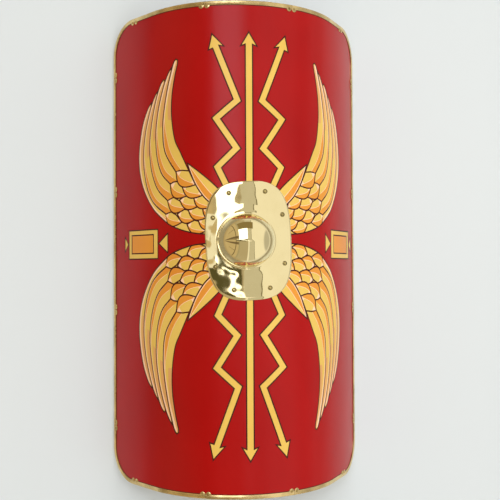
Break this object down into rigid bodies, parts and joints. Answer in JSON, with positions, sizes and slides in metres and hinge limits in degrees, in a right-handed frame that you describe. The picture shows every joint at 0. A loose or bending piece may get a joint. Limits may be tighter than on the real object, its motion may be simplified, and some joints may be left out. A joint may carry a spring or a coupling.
{
  "type": "curved rectangular legionary shield (scutum)",
  "caption": "Tall rectangular shield with rounded corners, bent round the bearer, painted in front, with a brass edge binding, a domed brass boss and a wooden grip behind.",
  "frame": {"origin": "under the middle of the shield, at the height of the long edges it lies on", "axes": "+Y towards the shield's top edge, +X towards its right edge as seen from in front, +Z out of its painted face"},
  "size_m": [0.5728, 1.05, 0.2931],
  "materials": {
    "painted_board": "satin red paint with a gold and orange painted design in front, stained wood behind",
    "brass": "polished, slightly uneven",
    "dull_brass": "dulled",
    "wood": "oiled, satin"
  },
  "bodies": {
    "root": {"board": "painted_board", "binding_top_left": "brass", "binding_top_middle": "brass", "binding_top_right": "brass", "binding_bottom_left": "brass", "binding_bottom_middle": "brass", "binding_bottom_right": "brass", "binding_left_upper": "brass", "binding_left_middle": "brass", "binding_left_lower": "brass", "binding_right_upper": "brass", "binding_right_middle": "brass", "binding_right_lower": "brass", "binding_corner_top_left": "brass", "binding_corner_top_right": "brass", "binding_corner_bottom_left": "brass", "binding_corner_bottom_right": "brass", "boss": "brass", "binding_nail_01": "dull_brass", "binding_nail_02": "dull_brass", "binding_nail_03": "dull_brass", "binding_nail_04": "dull_brass", "binding_nail_05": "dull_brass", "binding_nail_06": "dull_brass", "binding_nail_07": "dull_brass", "binding_nail_08": "dull_brass", "binding_nail_09": "dull_brass", "binding_nail_10": "dull_brass", "binding_nail_11": "dull_brass", "binding_nail_12": "dull_brass", "binding_nail_13": "dull_brass", "binding_nail_14": "dull_brass", "binding_nail_15": "dull_brass", "binding_nail_16": "dull_brass", "binding_nail_17": "dull_brass", "binding_nail_18": "dull_brass", "binding_nail_19": "dull_brass", "binding_nail_20": "dull_brass", "binding_nail_21": "dull_brass", "binding_nail_22": "dull_brass", "binding_nail_23": "dull_brass", "binding_nail_24": "dull_brass", "binding_nail_25": "dull_brass", "binding_nail_26": "dull_brass", "binding_nail_27": "dull_brass", "binding_nail_28": "dull_brass", "binding_nail_29": "dull_brass", "binding_nail_30": "dull_brass", "binding_nail_31": "dull_brass", "binding_nail_32": "dull_brass", "boss_rivet_1": "dull_brass", "boss_rivet_2": "dull_brass", "boss_rivet_3": "dull_brass", "boss_rivet_4": "dull_brass", "boss_rivet_5": "dull_brass", "boss_rivet_6": "dull_brass", "boss_rivet_7": "dull_brass", "boss_rivet_8": "dull_brass", "grip": "wood"}
  },
  "joints": []
}
